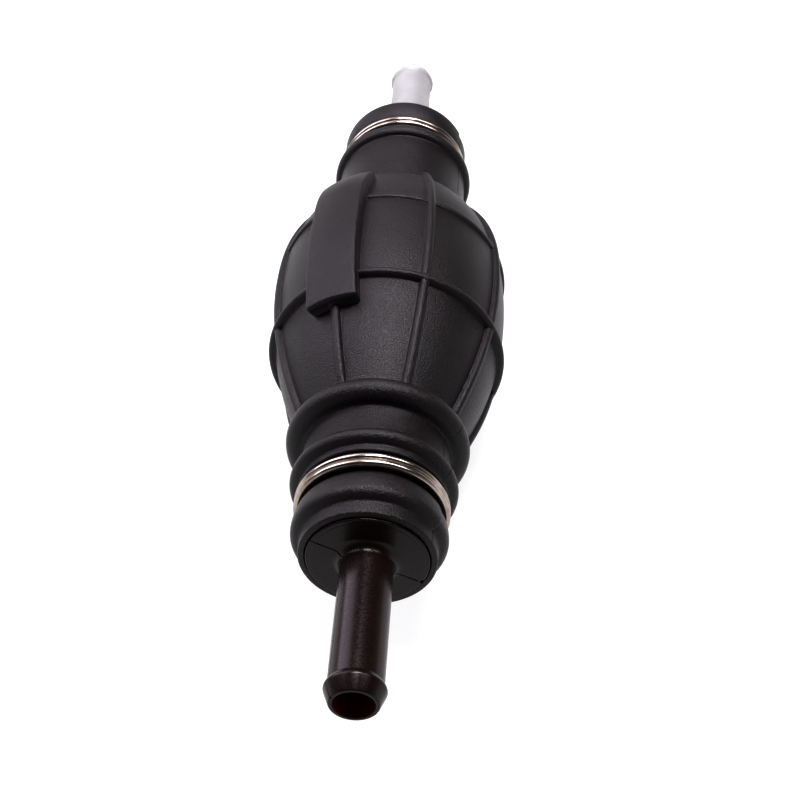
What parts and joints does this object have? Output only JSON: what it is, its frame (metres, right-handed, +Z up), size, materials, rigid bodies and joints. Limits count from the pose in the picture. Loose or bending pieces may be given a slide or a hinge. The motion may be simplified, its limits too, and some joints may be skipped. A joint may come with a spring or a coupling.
{
  "type": "siphon bulb pump",
  "caption": "Hand-squeezed ribbed rubber bulb with a plastic hose nozzle and a sprung one-way valve in each end, held by wire clamps.",
  "frame": {"origin": "on the surface the pump lies on, under the middle of its length", "axes": "+Y along the flow from inlet to outlet, +Z up, +X to the right seen from the inlet"},
  "size_m": [0.04, 0.1614, 0.0419],
  "materials": {
    "bulb_rubber": "fine-grained satin black rubber",
    "black_nylon": "smooth moulded black nylon",
    "white_nylon": "smooth moulded white nylon",
    "clamp_wire": "bright nickel-plated spring wire",
    "valve_acetal": "natural acetal",
    "seal_rubber": "black nitrile",
    "spring_wire": "drawn stainless wire"
  },
  "bodies": {
    "pump": {"bulb": "bulb_rubber", "inlet_connector": "black_nylon", "outlet_connector": "white_nylon", "inlet_clamp": "clamp_wire", "outlet_clamp": "clamp_wire", "inlet_cage": "valve_acetal", "outlet_seat": "valve_acetal", "inlet_spring": "spring_wire", "outlet_spring": "spring_wire"},
    "inlet_valve": {"inlet_poppet": "valve_acetal", "inlet_seal": "seal_rubber"},
    "outlet_valve": {"outlet_poppet": "valve_acetal", "outlet_seal": "seal_rubber"}
  },
  "joints": [
    {"name": "inlet_valve_lift", "type": "slide", "parent": "pump", "child": "inlet_valve", "axis": [0, 1, 0], "range_m": [0, 0.0024], "stiffness_N_per_m": 100, "springref_m": -0.0015, "deforming": ["inlet_spring"]},
    {"name": "outlet_valve_lift", "type": "slide", "parent": "pump", "child": "outlet_valve", "axis": [0, 1, 0], "range_m": [0, 0.0024], "stiffness_N_per_m": 100, "springref_m": -0.0015, "deforming": ["outlet_spring"]}
  ]
}
